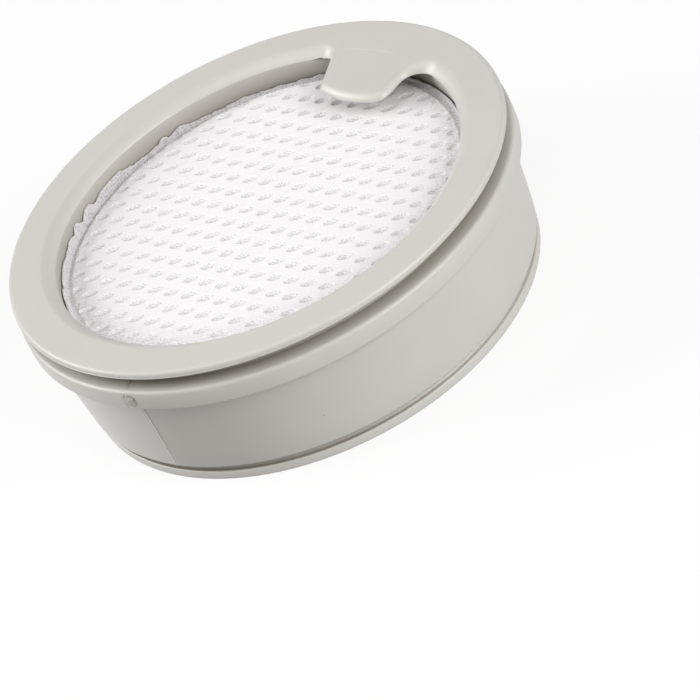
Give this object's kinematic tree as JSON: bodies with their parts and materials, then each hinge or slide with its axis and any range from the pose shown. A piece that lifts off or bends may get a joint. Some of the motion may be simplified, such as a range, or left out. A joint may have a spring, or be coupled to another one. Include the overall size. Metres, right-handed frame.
{
  "type": "vacuum hepa filter",
  "caption": "Round vacuum exhaust filter: flanged plastic casing with a finger tab, mesh cloth in the top well and a potted pleated pack below.",
  "frame": {"origin": "centre of the lip's end face, on the axis of the filter", "axes": "+Z along the axis towards the tabbed flange, +Y towards the finger tab"},
  "size_m": [0.0906, 0.0906, 0.0274],
  "materials": {
    "casing_plastic": "satin, injection moulded",
    "mesh_knit": "warp-knitted mesh",
    "filter_paper": "folded non-woven sheet",
    "potting": "cast foam sealant",
    "glue": "hot-melt bead"
  },
  "bodies": {
    "root": {"casing": "casing_plastic", "mesh_cloth": "mesh_knit", "pleated_media": "filter_paper", "potting_ring": "potting", "separator_bead_left": "glue", "separator_bead_right": "glue"}
  },
  "joints": []
}
